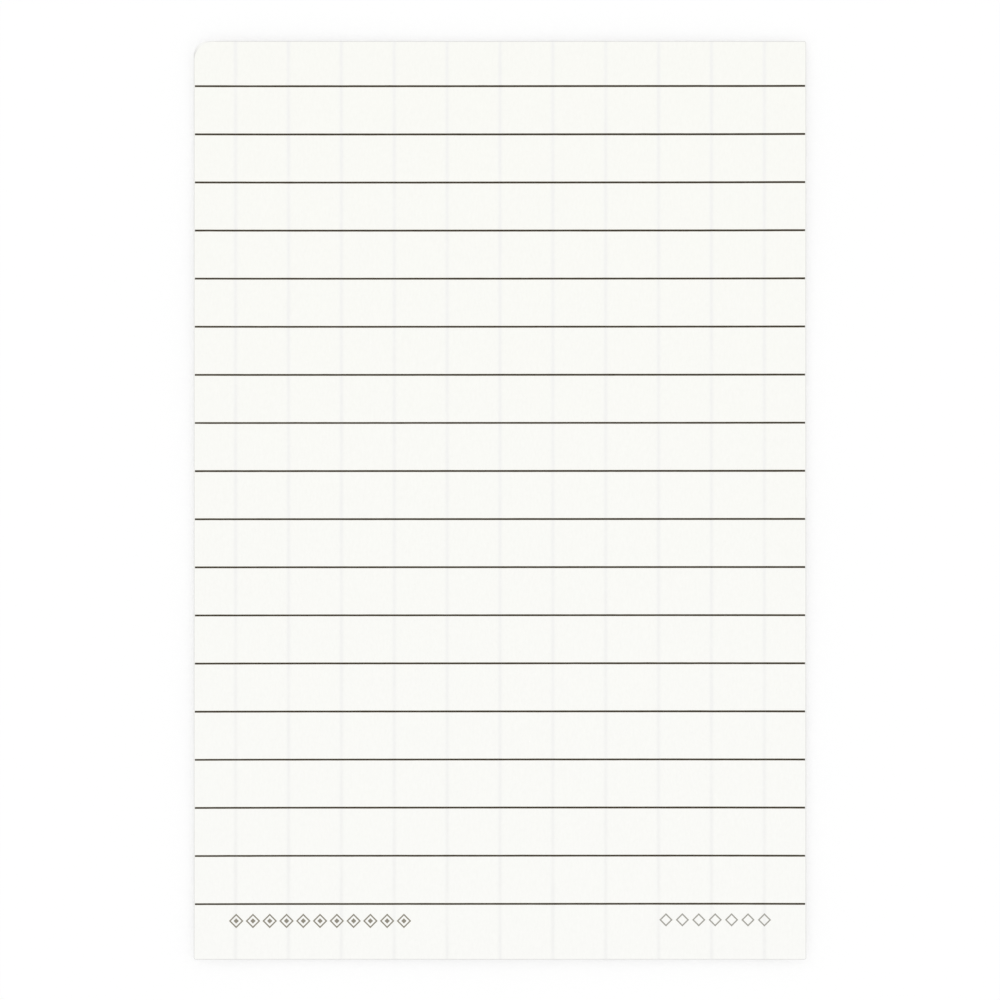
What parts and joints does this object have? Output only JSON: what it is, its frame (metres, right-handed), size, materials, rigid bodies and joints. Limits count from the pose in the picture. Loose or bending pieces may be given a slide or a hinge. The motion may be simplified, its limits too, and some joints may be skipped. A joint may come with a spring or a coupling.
{
  "type": "letter writing paper sheet",
  "caption": "Flat sheet of letter writing paper, ruled across its front and down its back, with rows of small marks at its foot and one worn corner.",
  "frame": {"origin": "middle of the underside of the sheet, which is the face with the lines down it", "axes": "+X to the right across the sheet, +Y up to its head, +Z out of the front face, as it is read from above"},
  "size_m": [0.1, 0.15, 0.0002],
  "materials": {
    "paper": "matt, slightly warm white, smooth wove",
    "ruling_ink": "matt brown-black printing ink, soaked into the paper",
    "dark_mark_ink": "matt brownish grey printing ink, soaked into the paper",
    "light_mark_ink": "matt light grey printing ink, soaked into the paper"
  },
  "bodies": {
    "root": {"sheet": "paper", "front_ruling": "ruling_ink", "back_ruling": "ruling_ink", "left_marks": "dark_mark_ink", "right_marks": "light_mark_ink"}
  },
  "joints": []
}
